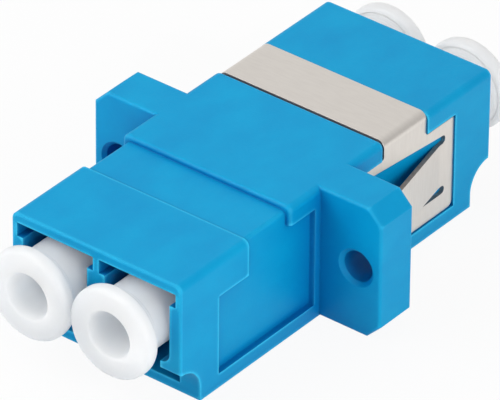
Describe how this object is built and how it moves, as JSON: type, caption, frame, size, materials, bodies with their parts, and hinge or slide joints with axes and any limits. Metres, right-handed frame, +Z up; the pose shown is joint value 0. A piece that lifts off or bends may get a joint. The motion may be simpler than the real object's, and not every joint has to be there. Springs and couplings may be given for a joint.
{
  "type": "fibre optic adapter",
  "caption": "Duplex optical fibre adapter with a screw flange, a sprung panel clip and pull-out dust plugs in its ports.",
  "frame": {"origin": "on the face that the housing stands on, midway between the two ports and straight under the plane where the fibres meet", "axes": "+X across the two ports, from the left port to the right one seen from the front; +Y along the fibres, from the front ports to the rear ones; +Z up, away from the latch side"},
  "size_m": [0.022, 0.0356, 0.0093],
  "materials": {
    "blue_plastic": "satin",
    "clip_steel": "brushed",
    "white_ceramic": "polished",
    "plug_plastic": "satin"
  },
  "bodies": {
    "adapter": {"housing": "blue_plastic", "panel_clip": "clip_steel", "alignment_sleeve_left": "white_ceramic", "sleeve_retainer_left": "blue_plastic", "alignment_sleeve_right": "white_ceramic", "sleeve_retainer_right": "blue_plastic"},
    "dust_plug_front_left_body": {"dust_plug_front_left": "plug_plastic"},
    "dust_plug_front_right_body": {"dust_plug_front_right": "plug_plastic"},
    "dust_plug_rear_left_body": {"dust_plug_rear_left": "plug_plastic"},
    "dust_plug_rear_right_body": {"dust_plug_rear_right": "plug_plastic"}
  },
  "joints": [
    {"name": "pull_front_left", "type": "slide", "parent": "adapter", "child": "dust_plug_front_left_body", "axis": [0, -1, 0], "range_m": [0, 0.014]},
    {"name": "pull_front_right", "type": "slide", "parent": "adapter", "child": "dust_plug_front_right_body", "axis": [0, -1, 0], "range_m": [0, 0.014]},
    {"name": "pull_rear_left", "type": "slide", "parent": "adapter", "child": "dust_plug_rear_left_body", "axis": [0, 1, 0], "range_m": [0, 0.014]},
    {"name": "pull_rear_right", "type": "slide", "parent": "adapter", "child": "dust_plug_rear_right_body", "axis": [0, 1, 0], "range_m": [0, 0.014]}
  ]
}
